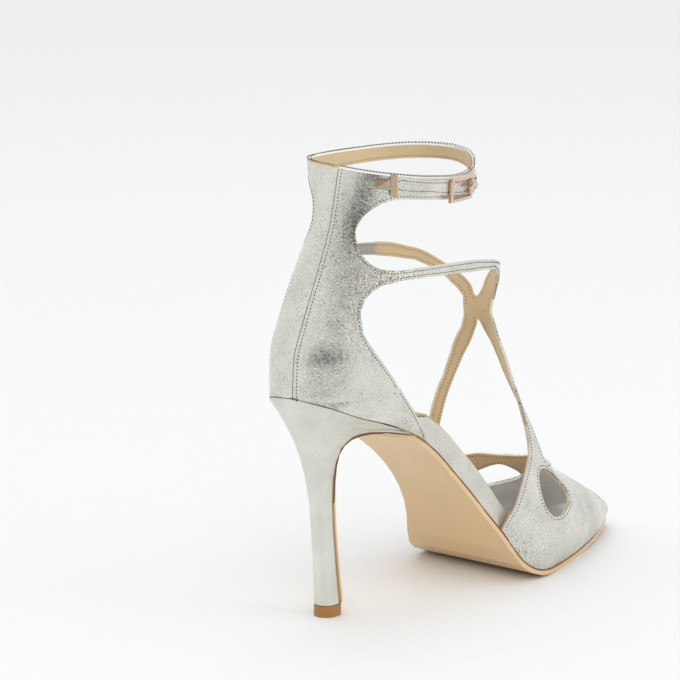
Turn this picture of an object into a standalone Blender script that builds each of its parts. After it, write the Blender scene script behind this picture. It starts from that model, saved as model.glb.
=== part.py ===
"""Strappy heeled sandal, right shoe. Metres, +Y to the toe, +X lateral, +Z up, origin under the heel tip.

The upper is cut flat and then lasted. A pattern is drawn in (u, w): u counts the sections along the last
and w runs from -1 at the medial edge over 0 on the ridge to +1 at the lateral edge. Behind the heel seat
the two edges meet in the back seam.
"""
import bmesh
import bpy
import numpy as np
from mathutils import Vector

MM = 0.001
SIZE = 1.0               # scale of the whole last
LENGTH = 219.2           # last, back of the heel to the toe
HEIGHT = 199.0           # top of the last above the floor
HALF = 40.0              # half width of the last at the ball
WALL = 1.5               # leather and lining of the upper
GAP = 0.3                # clearance between two pieces
SKIN = 0.15              # half clearance between the last and the upper
SOLE_T = 2.1             # outsole thickness
BOARD_T = 3.0            # insole board under the forefoot
WAIST_T = 9.8            # insole board at the open waist
SOCK_T = 1.0             # footbed lining
SOCK_IN = 1.2            # footbed lining inside the edge of the board
SOCK_HEEL = 1.3          # further in under the heel cup
SOCK_WAIST = 1.0         # further in at the open waist
WELT = 0.3               # outsole beyond the wall of the upper
TIP_H = 5.0              # height of the toplift
BILLET_T = 1.3           # strap end through the buckle
FLAT_FROM = .529 * LENGTH   # the forefoot stands on this stretch of the sole
FLAT_TO = .73 * LENGTH
METAL = 1.2              # wire of the buckle and keeper
ELASTIC_T = 1.2          # elastic web
CUT_MORE = 0.7           # a cutter stands this far out of the slab
LIFT_FRONT = 1.5         # toplift ahead of the heel, over the end of the outsole
LIFT_OUT = 0.2           # toplift beyond the heel all round
EDGE_BLEND = 0.86        # from this w outwards the wall turns to stand on the sole
SEAM_END = 6.0           # section where the back seam reaches the seat
TOE = 22.0               # section at the toe
PATTERN_Y = 10.0         # flat units for one unit of w

# A row per section of the last: bottom (or back) point, top (or front) point and half widths at the edge
# and at the widest, as shares of LENGTH (Y), HEIGHT (Z) and HALF (X), then the height share of the widest
# and the roundness of the lower and upper quarters.
LAST_SHARES = np.array([
    # u     bY      bZ     tX      tY      tZ     eL      eM      wL      wM     hm   nb   ntL  ntM
    (0.0, .0525, 1.0, 0.0, .3741, .995, 0.0, 0.0, .775, .775, .4, 2.6, 2.0, 2.0),
    (1.0, .0429, .9648, 0.0, .3832, .9548, 0.0, 0.0, .7375, .7375, .4, 2.6, 2.0, 2.0),
    (2.0, .0164, .8442, -.025, .4288, .8442, 0.0, 0.0, .6375, .6125, .38, 2.2, 2.0, 2.0),
    (3.0, -.021, .7487, -.05, .479, .7588, 0.0, 0.0, .7125, .7125, .36, 2.1, 1.9, 1.9),
    (4.0, -.0611, .6533, -.075, .5041, .6935, 0.0, 0.0, .7625, .75, .33, 2.1, 1.9, 1.9),
    (5.0, -.0885, .5729, -.075, .5018, .6382, 0.0, 0.0, .775, .7625, .3, 2.1, 1.8, 1.8),
    (6.0, -.0922, .4925, -.0875, .4982, .5879, 0.0, 0.0, .75, .7375, .26, 2.0, 1.8, 1.8),
    (6.14, -.0862, .4889, -.0875, .5, .5809, .23, .225, .7475, .735, .26, 2.0, 1.8, 1.8),
    (6.42, -.0698, .4799, -.0875, .5041, .5668, .425, .415, .745, .7275, .26, 2.0, 1.8, 1.8),
    (7.0, -.0365, .4623, -.0875, .5132, .5402, .5575, .545, .7375, .7125, .25, 2.0, 1.8, 1.8),
    (8.0, .0456, .4322, -.075, .5292, .499, .645, .615, .725, .6875, .24, 2.0, 1.8, 1.8),
    (9.0, .1369, .3894, -.075, .5474, .4523, .605, .555, .6875, .65, .24, 2.0, 1.8, 1.7),
    (10.0, .2099, .3417, -.05, .5625, .4095, .5375, .4625, .65, .625, .24, 2.0, 1.8, 1.6),
    (11.0, .2737, .2814, -.025, .578, .3658, .5125, .425, .6625, .6, .24, 2.0, 1.8, 1.5),
    (12.0, .3321, .2095, 0.0, .5931, .3216, .575, .46, .7125, .65, .24, 2.0, 1.8, 1.4),
    (13.0, .3809, .1281, .025, .6058, .2814, .7125, .545, .8, .75, .24, 2.0, 1.8, 1.35),
    (14.0, .4275, .0513, .05, .6195, .2437, .8125, .7, .8875, .875, .26, 2.0, 1.8, 1.3),
    (15.0, .4849, .0196, .05, .6387, .2136, .8325, .82, .9, .9625, .28, 2.0, 1.8, 1.3),
    (16.0, .5474, .0131, .05, .6729, .191, .7625, .8875, .825, 1.0, .3, 2.0, 1.8, 1.35),
    (17.0, .6204, .0131, .025, .7162, .1668, .65, .8925, .7125, .9625, .32, 2.0, 1.8, 1.45),
    (18.0, .6934, .0141, 0.0, .7619, .1407, .515, .825, .575, .8625, .35, 2.0, 1.8, 1.55),
    (19.0, .7664, .0171, -.05, .8075, .1146, .3675, .7125, .4175, .7375, .38, 2.0, 1.8, 1.7),
    (20.0, .8303, .0221, -.1, .8485, .0915, .21, .575, .25, .6, .42, 2.0, 1.9, 1.9),
    (21.0, .8759, .0271, -.1125, .8805, .0714, .08, .425, .105, .4375, .45, 2.0, 2.0, 2.0),
    (22.0, .9078, .0322, -.125, .9078, .0553, -.0325, .225, -.02, .2375, .5, 2.0, 2.0, 2.0),
])
LAST = LAST_SHARES * np.array([
    1, LENGTH, HEIGHT, HALF, LENGTH, HEIGHT, HALF, HALF, HALF, HALF, 1, 1, 1, 1,
])

# Pattern edges of the upper, each row (u, w).
TOP_EDGE = [
    (.94, -1.0), (.92, -.78), (.90, -.57), (.87, -.41), (.80, -.28), (.75, -.19), (.74, -.10), (.76, 0.0),
    (.86, .09), (1.06, .18), (1.21, .27), (1.25, .37), (1.24, .47), (1.15, .64), (1.05, .78), (1.01, .86),
    (.97, .94), (.94, 1.0),
]
THROAT = [
    (1.66, .3), (1.61, .46), (1.53, .64), (1.49, .74), (1.54, .8), (1.66, .85), (1.82, .885), (2.01, .9),
    (2.24, .89), (2.45, .875), (2.65, .85), (2.83, .81), (2.91, .75), (2.92, .68), (2.97, .54),
    (3.12, .37), (3.3, .265), (3.46, .195), (3.7, .12), (4.02, .058), (4.3, .028), (4.65, .009), (5.0, 0.0),
    (5.35, -.01), (5.48, -.018), (5.35, -.026), (4.97, -.036), (4.6, -.058), (4.25, -.092), (3.84, -.14),
    (3.46, -.195), (3.28, -.245), (3.07, -.32), (2.93, -.46), (2.86, -.6), (2.74, -.72), (2.54, -.79),
    (2.31, -.84), (2.03, -.87), (1.8, -.875), (1.6, -.86), (1.44, -.81), (1.34, -.74), (1.31, -.61),
    (1.28, -.5), (1.25, -.38), (1.22, -.26), (1.2, -.13), (1.22, 0.0), (1.34, .1), (1.55, .2),
]
QUARTER_LATERAL = [
    (3.73, .21), (3.5, .32), (3.3, .47), (3.17, .63), (3.15, .73), (3.2, .79), (3.32, .82), (3.5, .84),
    (3.75, .845), (4.28, .825), (4.69, .79), (5.14, .755), (5.6, .718), (5.93, .7), (6.07, .714),
    (6.14, .735), (6.21, .746), (6.33, .761), (6.59, .778), (6.99, .798), (7.41, .825), (8.29, .899),
    (9.15, .978), (9.48, 1.0), (9.58, 1.06), (13.1, 1.06), (13.0, 1.0), (12.84, .92), (12.74, .84),
    (12.62, .78), (12.46, .69), (12.31, .6), (12.13, .48), (11.9, .41), (11.4, .305), (10.6, .215),
    (9.9, .172), (9.17, .145), (8.23, .118), (7.47, .1), (6.9, .08), (6.38, .062), (5.98, .05),
    (5.43, .055), (5.05, .075), (4.55, .105), (4.1, .15),
]
QUARTER_MEDIAL = [
    (3.73, -.225), (3.5, -.31), (3.28, -.42), (3.16, -.56), (3.07, -.68), (3.1, -.75), (3.19, -.79),
    (3.33, -.82), (3.52, -.83), (3.77, -.83), (4.14, -.81), (4.56, -.78), (5.26, -.72), (5.7, -.684),
    (5.93, -.667), (6.04, -.67), (6.12, -.695), (6.18, -.706), (6.31, -.721), (6.57, -.738),
    (6.97, -.754), (7.38, -.778), (8.2, -.868), (8.94, -.953), (9.3, -1.0), (9.4, -1.06), (12.8, -1.06),
    (12.7, -1.0), (12.6, -.9), (12.48, -.8), (12.25, -.73), (11.9, -.655), (11.4, -.575), (10.79, -.48),
    (10.1, -.385), (9.17, -.265), (8.23, -.172), (7.47, -.12), (6.9, -.08), (6.38, -.06), (5.98, -.05),
    (5.43, -.055), (5.05, -.075), (4.55, -.11), (4.1, -.16),
]
INSTEP = [
    (6.5, -.021), (6.72, -.014), (7.15, -.008), (8.0, .006), (9.2, .03), (10.4, .062), (11.5, .135),
    (12.2, .215), (12.75, .3), (13.1, .35), (13.35, .33), (13.75, .25), (14.2, .15), (14.55, .06),
    (14.62, 0.0), (14.5, -.06), (14.15, -.13), (13.75, -.2), (13.3, -.29), (13.05, -.38), (12.88, -.46),
    (12.62, -.52), (12.2, -.53), (11.6, -.495), (11.07, -.435), (10.1, -.31), (9.15, -.2), (8.0, -.09),
    (7.15, -.04), (6.65, -.022),
]
TEARDROP_LATERAL = [
    (12.8, .5), (12.98, .57), (13.33, .626), (13.7, .65), (14.14, .645), (14.59, .608), (15.0, .544),
    (15.28, .475), (15.32, .405), (15.03, .354), (14.45, .33), (13.85, .345), (13.3, .395), (12.95, .445),
]
TEARDROP_MEDIAL = [
    (14.50, -.21), (14.28, -.31), (14.20, -.42), (14.28, -.50), (14.62, -.56), (15.21, -.58),
    (15.91, -.56), (16.48, -.52), (17.0, -.45), (17.2, -.37), (17.1, -.29), (16.6, -.225),
    (15.9, -.185), (15.1, -.17),
]
PEEP_TOE = [
    (23.0, -1.2), (21.75, -1.05), (21.6, -.84), (21.25, -.70), (20.7, -.55), (20.2, -.40), (19.85, -.22),
    (19.72, -.05), (19.76, .10), (19.92, .25), (20.2, .40), (20.7, .55), (21.25, .70), (21.6, .84),
    (21.75, 1.05), (23.0, 1.2),
]
ELASTIC_CUT = [(2.4, -.665), (2.4, -.375), (3.9, -.375), (3.9, -.665)]
ELASTIC = [
    (2.835, -.658), (2.87, -.60), (2.92, -.50), (3.01, -.382), (3.345, -.382), (3.22, -.48),
    (3.14, -.58), (3.075, -.658),
]
BILLET = [
    (1.17, .825), (1.15, .8), (1.105, .782), (1.09, .765), (1.04, .742), (1.09, .7), (1.15, .63),
    (1.19, .563), (1.22, .501), (1.255, .423), (1.285, .33), (1.3, .27), (1.56, .27), (1.555, .33),
    (1.54, .431), (1.515, .501), (1.47, .556), (1.415, .63), (1.39, .7), (1.365, .742), (1.335, .765),
    (1.325, .782), (1.31, .8), (1.29, .825),
]
FRAME_OUT = [
    (1.16, .515), (1.2, .345), (1.63, .36), (1.62, .515),
]
FRAME_IN = [
    (1.215, .498), (1.255, .362), (1.575, .376), (1.565, .498),
]
PRONG = [
    (1.385, .405), (1.375, .335), (1.43, .337), (1.44, .407),
]
KEEPER = [
    (.98, .784), (.975, .762), (1.42, .762), (1.42, .784),
]
KEEPER_IN = [
    (1.035, .83), (1.035, .7), (1.37, .7), (1.37, .83),
]

# Heel sections from the tip up: back point, front point and half width, as shares of the same sizes.
HEEL_SHARES = np.array([
    # bY     bZ     fY     fZ    half
    (-.0242, .0266, .0196, .0266, .1275),
    (-.0265, .0704, .016, .0704, .12),
    (-.0297, .1256, .0109, .1256, .115),
    (-.0338, .1859, .0055, .1859, .1125),
    (-.0392, .2513, .0009, .2513, .1175),
    (-.0484, .3116, -.0009, .3065, .145),
    (-.0561, .3543, 0.0, .3432, .195),
    (-.0648, .392, .005, .3749, .265),
    (-.0762, .4271, .0219, .398, .365),
    (-.0885, .4598, .0566, .4085, .49),
    (-.0999, .4905, .1305, .391, .65),
])
HEEL = HEEL_SHARES * np.array([LENGTH, HEIGHT, LENGTH, HEIGHT, HALF])
HEEL[0, [1, 3]] = TIP_H + GAP
# Outsole path from the toplift up the breast to the waist, on its upper face, as shares of the same sizes
# and of SOLE_T.
BREAST_SHARES = np.array([
    # Y      Z     left  right  thick
    (.0212, .0271, .115, .115, .43),
    (.0176, .0704, .105, .105, .43),
    (.0125, .1256, .0975, .0975, .43),
    (.0071, .1859, .0925, .0925, .43),
    (.0025, .2513, .095, .095, .43),
    (.0007, .3055, .1075, .1075, .43),
    (.0014, .3397, .1225, .1225, .43),
    (.0043, .3618, .145, .145, .43),
    (.01, .3799, .185, .185, .43),
    (.0196, .392, .235, .235, .43),
    (.0347, .4, .295, .295, .45),
    (.0566, .405, .385, .385, .5),
    (.0776, .4015, .475, .465, .62),
    (.1004, .396, .555, .515, .81),
])
BREAST = BREAST_SHARES * np.array([LENGTH, HEIGHT, HALF, HALF, SOLE_T])
BREAST[0, 1] = TIP_H + GAP

LOOKS = [
    # material           base color       metallic  roughness
    ("silver_leather", (.56, .55, .51), .55, .42),
    ("silver_heel", (.60, .59, .54), .55, .40),
    ("silver_board", (.56, .55, .50), .50, .45),
    ("tan_outsole", (.62, .47, .29), .00, .55),
    ("tan_footbed", (.60, .44, .26), .00, .60),
    ("silver_footbed", (.60, .59, .55), .40, .45),
    ("toplift_rubber", (.38, .19, .06), .00, .50),
    ("elastic_web", (.50, .50, .47), .00, .70),
    ("silver_strap_end", (.56, .55, .51), .55, .42),
    ("buckle_metal", (.50, .36, .26), 1.0, .28),
    ("prong_metal", (.50, .36, .27), 1.0, .30),
    ("keeper_metal", (.52, .38, .24), 1.0, .30),
]


def pchip(knots, values, at):
    """Monotone cubic through the rows of values, with no overshoot between them."""
    step = np.diff(knots)[:, None]
    slope = np.diff(values, axis=0) / step
    inner = np.zeros_like(values)
    first, second = step[:-1], step[1:]
    same = slope[:-1] * slope[1:] > 0
    weight = (2 * second + first, second + 2 * first)
    safe = np.where(same, slope[:-1], 1.0), np.where(same, slope[1:], 1.0)
    mean = (weight[0] + weight[1]) / (weight[0] / safe[0] + weight[1] / safe[1])
    inner[1:-1] = np.where(same, mean, 0.0)
    inner[0], inner[-1] = slope[0], slope[-1]
    at = min(max(at, knots[0]), knots[-1])
    k = min(int(np.searchsorted(knots, at, side="right")) - 1, len(knots) - 2)
    h = knots[k + 1] - knots[k]
    t = (at - knots[k]) / h
    return (
        (2 * t ** 3 - 3 * t ** 2 + 1) * values[k] + (t ** 3 - 2 * t ** 2 + t) * h * inner[k]
        + (3 * t ** 2 - 2 * t ** 3) * values[k + 1] + (t ** 3 - t ** 2) * h * inner[k + 1]
    )


ROW_CACHE = {}


def last_row(u):
    key = round(float(u), 6)
    if key not in ROW_CACHE:
        ROW_CACHE[key] = pchip(LAST[:, 0], LAST[:, 1:], key)
    return ROW_CACHE[key]


HALF_CACHE = {}


def half_section(u, side):
    """Arc shares and points of one half of section u, from the ridge down to the edge."""
    key = (round(float(u), 6), side)
    if key not in HALF_CACHE:
        b_y, b_z, t_x, t_y, t_z, e_l, e_m, w_l, w_m, hm, nb, nt_l, nt_m = last_row(u)
        edge, wide, top = (e_l, w_l, t_x) if side > 0 else (e_m, w_m, -t_x)
        nt = nt_l if side > 0 else nt_m
        q = np.linspace(0, np.pi / 2, 33)
        start = np.arcsin(min(max(edge, 0.0) / max(wide, 0.1), 0.97) ** (nb / 2))
        r = np.linspace(start, np.pi / 2, 33)
        rise = np.cos(start) ** (2 / nb)
        reach = (np.sin(r) ** (2 / nb) - np.sin(start) ** (2 / nb)) / (1 - np.sin(start) ** (2 / nb))
        low_x = edge + (wide - edge) * reach
        low_h = hm * (rise - np.cos(r) ** (2 / nb)) / rise
        high_x = top + (wide - top) * np.cos(q) ** (2 / nt)
        high_h = hm + (1 - hm) * np.sin(q) ** (2 / nt)
        x = np.concatenate([low_x, high_x[1:]]) * side
        h = np.concatenate([low_h, high_h[1:]])
        points = np.stack([x, b_y + (t_y - b_y) * h, b_z + (t_z - b_z) * h], -1)[::-1]
        run = np.concatenate([[0.0], np.cumsum(np.linalg.norm(np.diff(points, axis=0), axis=1))])
        HALF_CACHE[key] = (run / run[-1], points)
    return HALF_CACHE[key]


def last_point(u, w):
    share, points = half_section(u, 1 if w >= 0 else -1)
    s = min(abs(w), 1.0)
    return np.array([np.interp(s, share, points[:, k]) for k in range(3)])


def path_normal(y0, z0, y1, z1):
    length = np.hypot(y1 - y0, z1 - z0)
    return np.array([-(z1 - z0) / length, (y1 - y0) / length])


def seat_up(u):
    """The normal of the sole line at u, in the YZ plane."""
    before, after = last_row(max(u - .05, SEAM_END)), last_row(min(u + .05, TOE))
    return path_normal(before[0], before[1], after[0], after[1])


def last_normal(u, w):
    du, dw = 0.06, 0.012
    w_low, w_high = max(w - dw, -1.0), min(w + dw, 1.0)
    along = last_point(min(u + du, TOE), w) - last_point(max(u - du, 0.0), w)
    across = last_point(u, w_high) - last_point(u, w_low)
    n = np.cross(along, across)
    n /= np.linalg.norm(n)
    if abs(w) > 0.9999 and u <= SEAM_END + 0.001:
        n[0] = 0.0
    near_edge = min(max((abs(w) - EDGE_BLEND) / (1 - EDGE_BLEND), 0.0), 1.0)
    if u > SEAM_END - 0.001 and near_edge > 0:
        rim = np.sign(w)
        way = last_point(min(u + .04, TOE), rim) - last_point(max(u - .04, SEAM_END), rim)
        flat = NORMAL_SIGN * rim * np.cross(way, np.array([0.0, *seat_up(u)]))
        flat[0] *= float(u > SEAM_END + 0.001)
        share = near_edge ** 2 * (3 - 2 * near_edge)
        n = (1 - share) * n + share * flat / np.linalg.norm(flat)
    return n / np.linalg.norm(n)


NORMAL_SIGN = 1.0 if last_normal(4.0, 0.5)[0] > 0 else -1.0


def lasted(u, w, height):
    """The point at this height in mm off the last."""
    return SIZE * (last_point(u, w) + NORMAL_SIGN * height * last_normal(u, w))


def smooth_loop(points, rounds=1):
    """A closed loop with its corners rounded and its runs kept."""
    pts = np.array(points, float)
    for _ in range(rounds):
        nxt, aft, prv = np.roll(pts, -1, 0), np.roll(pts, -2, 0), np.roll(pts, 1, 0)
        mid = (9 * (pts + nxt) - (prv + aft)) / 16
        pts = np.stack([pts, mid], 1).reshape(-1, 2)
    return pts


def set_active(obj):
    bpy.ops.object.select_all(action="DESELECT")
    obj.select_set(True)
    bpy.context.view_layer.objects.active = obj


def link(name, mesh, collection):
    obj = bpy.data.objects.new(name, mesh)
    collection.objects.link(obj)
    return obj


def flat_slab(name, loop, low, high):
    """A slab in the flat pattern: x is u, y is w and z is the height in mm."""
    bm = bmesh.new()
    bottom = [bm.verts.new((u, w * PATTERN_Y, low)) for u, w in loop]
    top = [bm.verts.new((u, w * PATTERN_Y, high)) for u, w in loop]
    bm.faces.new(bottom)
    bm.faces.new(top[::-1])
    for i in range(len(loop)):
        j = (i + 1) % len(loop)
        bm.faces.new((bottom[j], bottom[i], top[i], top[j]))
    bmesh.ops.recalc_face_normals(bm, faces=bm.faces)
    mesh = bpy.data.meshes.new(name)
    bm.to_mesh(mesh)
    bm.free()
    return mesh


def cut(obj, loops, low, high, kind="DIFFERENCE"):
    for k, loop in enumerate(loops):
        cutter = link(f"{obj.name}_cut_{k}", flat_slab(obj.name + "_cut", loop, low, high), CUTTERS)
        cutter.hide_render = True
        cutter.display_type = "WIRE"
        modifier = obj.modifiers.new(f"cut_{k}", "BOOLEAN")
        modifier.operation = kind
        modifier.solver = "EXACT"
        modifier.object = cutter
        set_active(obj)
        bpy.ops.object.modifier_apply(modifier=modifier.name)
        bpy.data.objects.remove(cutter, do_unlink=True)


def grid_lines(low, high, step):
    return np.arange(np.ceil(low / step) * step, high + 1e-9, step)


def put_on_last(obj, u_step, w_step, weld_seam=False, more=()):
    """Splits the flat slab on a grid, then lays each vertex on the last."""
    bm = bmesh.new()
    bm.from_mesh(obj.data)
    us = [v.co.x for v in bm.verts]
    ws = [v.co.y / PATTERN_Y for v in bm.verts]
    lines = [(u, 0) for u in grid_lines(min(us) + .02, max(us) - .02, u_step)]
    lines += [(u, 0) for u in more]
    lines += [(w * PATTERN_Y, 1) for w in grid_lines(min(ws) + .004, max(ws) - .004, w_step)]
    for at, axis in lines:
        place = Vector((at, 0, 0)) if axis == 0 else Vector((0, at, 0))
        way = Vector((1, 0, 0)) if axis == 0 else Vector((0, 1, 0))
        geom = bm.verts[:] + bm.edges[:] + bm.faces[:]
        bmesh.ops.bisect_plane(bm, geom=geom, dist=1e-4, plane_co=place, plane_no=way)
    if weld_seam:
        ends = [
            f for f in bm.faces
            if all(abs(abs(v.co.y / PATTERN_Y) - 1) < 1e-5 and v.co.x < SEAM_END + 1e-4 for v in f.verts)
        ]
        bmesh.ops.delete(bm, geom=ends, context="FACES")
    bmesh.ops.triangulate(bm, faces=bm.faces[:], quad_method="BEAUTY", ngon_method="BEAUTY")
    for v in bm.verts:
        v.co = Vector(lasted(v.co.x, v.co.y / PATTERN_Y, v.co.z) * MM)
    if weld_seam:
        seam = [v for v in bm.verts if abs(v.co.x) < 1e-7]
        bmesh.ops.remove_doubles(bm, verts=seam, dist=2e-5)
    bmesh.ops.recalc_face_normals(bm, faces=bm.faces)
    bm.to_mesh(obj.data)
    bm.free()


def lasted_slab(name, loop, low, high, material, u_step=0.25, w_step=0.04):
    obj = link(name, flat_slab(name, loop, low, high), PARTS)
    put_on_last(obj, u_step, w_step)
    finish(obj, material)
    return obj


def rings_mesh(name, rings, ladder=False):
    """A closed body through rings of equal count, capped at both ends, in side to side rungs if asked."""
    bm = bmesh.new()
    rows = [[bm.verts.new(Vector(p) * MM * SIZE) for p in ring] for ring in rings]
    n = len(rows[0])
    for a, b in zip(rows[:-1], rows[1:]):
        for i in range(n):
            j = (i + 1) % n
            bm.faces.new((a[i], a[j], b[j], b[i]))
    for cap in (rows[0], rows[-1]):
        if not ladder:
            bm.faces.new(cap)
            continue
        for k in range(n // 2):
            rung = [cap[k], cap[k + 1], cap[(n - k - 1) % n], cap[(n - k) % n]]
            bm.faces.new(list(dict.fromkeys(rung)))
    bmesh.ops.recalc_face_normals(bm, faces=bm.faces)
    bmesh.ops.triangulate(bm, faces=bm.faces[:], quad_method="BEAUTY", ngon_method="BEAUTY")
    mesh = bpy.data.meshes.new(name)
    bm.to_mesh(mesh)
    bm.free()
    return mesh


def finish(obj, material):
    obj.data.materials.clear()
    obj.data.materials.append(material)
    set_active(obj)
    bpy.ops.object.shade_smooth()
    obj.data.set_sharp_from_angle(angle=np.radians(38))


def principled(name, color, metallic, roughness):
    material = bpy.data.materials.new(name)
    material.use_nodes = True
    shader = material.node_tree.nodes["Principled BSDF"]
    shader.inputs["Base Color"].default_value = (*color, 1.0)
    shader.inputs["Metallic"].default_value = metallic
    shader.inputs["Roughness"].default_value = roughness
    return material


def seat_frames(us):
    """Bottom point, its normal in the YZ plane and the edge half widths, at each u."""
    frames = []
    for u in us:
        row = last_row(u)
        frames.append((row[0:2], seat_up(u), row[5], row[6]))
    return frames


def bed_rings(us, low, high, inset, waist_low=0.0, trim=0.0):
    """Rings of a layer on the bottom of the last, between two heights given as functions of u."""
    rings = []
    for u, (point, up, left, right) in zip(us, seat_frames(us)):
        a, b = point + up * low(u), point + up * high(u)
        lat = max(left - inset(u), -right + inset(u) + 2.0)
        med = -(right - inset(u))
        lat = max(lat, med + 2.0)
        spread = np.linspace(lat, med, 5)
        ring = [(x, a[0], a[1]) for x in spread]
        ring += [(x, b[0], b[1]) for x in spread[::-1]]
        rings.append(ring)
    return rings


def board_height(u):
    open_waist = np.interp(u, [6, 8.2, 9.3, 11.5, 13.0, 13.9, 22], [0, 0, 1, 1, .78, 0, 0])
    return BOARD_T + (WAIST_T - BOARD_T) * open_waist


def board_inset(u):
    """The board stays inside the upper and comes out to its face where the waist is open."""
    covered = np.interp(u, [6, 7.0, 7.6, 9.5, 9.9, 12.2, 12.6, 22], [9.0, 5.8, 2.0, 1, 0, 0, 1, 1])
    return GAP * covered


def build_outsole():
    rings = []
    for y, z, left, right, thick in BREAST:
        rings.append((np.array([y, z]), left, right, thick))
    for u in (9.0, 9.3, 9.6, 10, 10.5, 11, 11.5, 12, 12.5, 13, 13.5, 14, 14.5, 15, 15.3, 15.7, 16, 16.5, 17,
              17.5, 18, 18.5, 19, 19.5, 20, 20.5, 21, 21.5, 22):
        point, up, left, right = seat_frames([u])[0]
        covered = np.interp(u, [12.4, 13.6], [0.0, 1.0])
        out = (WALL + SKIN + WELT) * covered
        rings.append((point - up * GAP, left + out, right + out, SOLE_T))
    tip = rings[-1][0] + np.array([WALL + WELT, 0.25])
    rings.append((tip, rings[-1][1] - 3.2, rings[-1][2] - 3.2, SOLE_T - .3))
    body = []
    for k, (point, left, right, thick) in enumerate(rings):
        before = rings[max(k - 1, 0)][0]
        after = rings[min(k + 1, len(rings) - 1)][0]
        up = path_normal(before[0], before[1], after[0], after[1])
        low = point - up * thick
        if FLAT_FROM < point[0] < FLAT_TO:
            low = np.array([point[0], 0.0])
        lat, med = left, -right
        if lat - med < 2:
            lat = med + 2
        spread = np.linspace(lat, med, 5)
        ring = [(x, point[0], point[1]) for x in spread]
        ring += [(x, low[0], low[1]) for x in spread[::-1]]
        body.append(ring)
    return rings_mesh("outsole", body)


def heel_ring(b_y, b_z, f_y, f_z, half, count=28):
    """A round back and a flatter front, in the plane of the back and front points."""
    ring = []
    for k in range(count):
        angle = 2 * np.pi * k / count
        x, s = np.sin(angle), np.cos(angle)
        wide = half * np.sign(x) * abs(x) ** (2 / 2.3)
        share = (1 - s) / 2 if s > 0 else 0.5 - 0.5 * np.sign(s) * abs(s) ** (2 / 4.2)
        ring.append((wide, b_y + (f_y - b_y) * share, b_z + (f_z - b_z) * share))
    return ring


def heel_top(ring):
    """Fits the top ring of the heel to the seat and to the outside of the upper."""
    us = [6.0, 6.05, 6.14, 6.28, 6.42, 6.7, 7.0, 7.5, 8.0, 8.5, 9.0]
    seat = np.array([last_row(u)[0:2] for u in us])
    edges = [np.array([lasted(u, w, SKIN + WALL) for u in us]) / SIZE for w in (1.0, -1.0)]
    fitted = []
    for k, (x, y, z) in enumerate(ring):
        edge = edges[0] if x >= 0 else edges[1]
        share = 1.0 if k <= len(ring) // 4 or k >= 3 * len(ring) // 4 else abs(x) / HEEL[-1][4]
        wide = abs(np.interp(y, edge[:, 1], edge[:, 0])) * share
        if k == 0:
            wide = 0.0
        slope = (seat[0, 1] - seat[4, 1]) / (seat[0, 0] - seat[4, 0])
        level = np.interp(y, seat[:, 0], seat[:, 1]) + min(y - seat[0, 0], 0.0) * slope
        fitted.append((np.sign(x) * wide, y, level - GAP * 1.4))
    return fitted


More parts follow.
